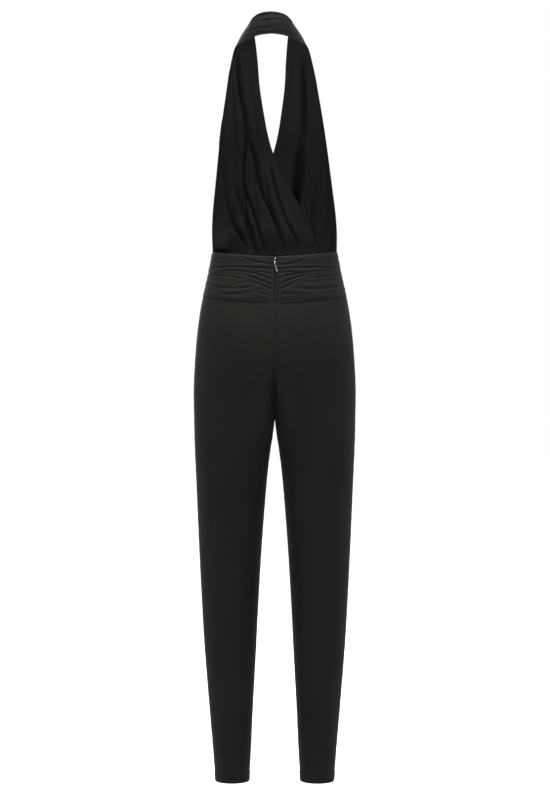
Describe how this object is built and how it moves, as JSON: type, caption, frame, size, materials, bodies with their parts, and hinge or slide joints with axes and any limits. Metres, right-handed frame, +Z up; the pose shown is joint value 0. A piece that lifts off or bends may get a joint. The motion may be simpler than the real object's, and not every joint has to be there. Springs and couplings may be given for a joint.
{
  "type": "jumpsuit",
  "caption": "Black halter-neck jumpsuit with crossed wrap fronts, an open back, a gathered yoke with a concealed back zip, and slim tapered legs, filled out as worn.",
  "frame": {"origin": "inside face of the strap at the nape, at the centre back and half way up the strap, where the wearer's neck holds the garment", "axes": "+Z up, along the garment's length; -Y towards the wearer's front; +X towards the wearer's left"},
  "size_m": [0.3166, 0.2344, 1.486],
  "materials": {
    "crepe": "matte stretch crepe, soft black with a slightly warm cast, darker and flatter inside",
    "zip_tape": "smooth woven tape with a nylon chain",
    "zip_lacquer": "glossy black lacquer on the cast slider",
    "zip_metal": "polished nickel"
  },
  "bodies": {
    "garment": {"front_left": "crepe", "front_right": "crepe", "yoke_front": "crepe", "yoke_back_left": "crepe", "yoke_back_right": "crepe", "leg_front_left": "crepe", "leg_front_right": "crepe", "leg_back_left": "crepe", "leg_back_right": "crepe", "zip_tape": "zip_tape", "zip_slider": "zip_lacquer"},
    "pull_tab": {"zip_pull": "zip_metal"}
  },
  "joints": [
    {"name": "pull_swing", "type": "hinge", "parent": "garment", "child": "pull_tab", "pos_m": [0, 0.00422, -0.46337], "axis": [0.9397, 0.0772, -0.3332], "range_deg": [0, 125]}
  ]
}
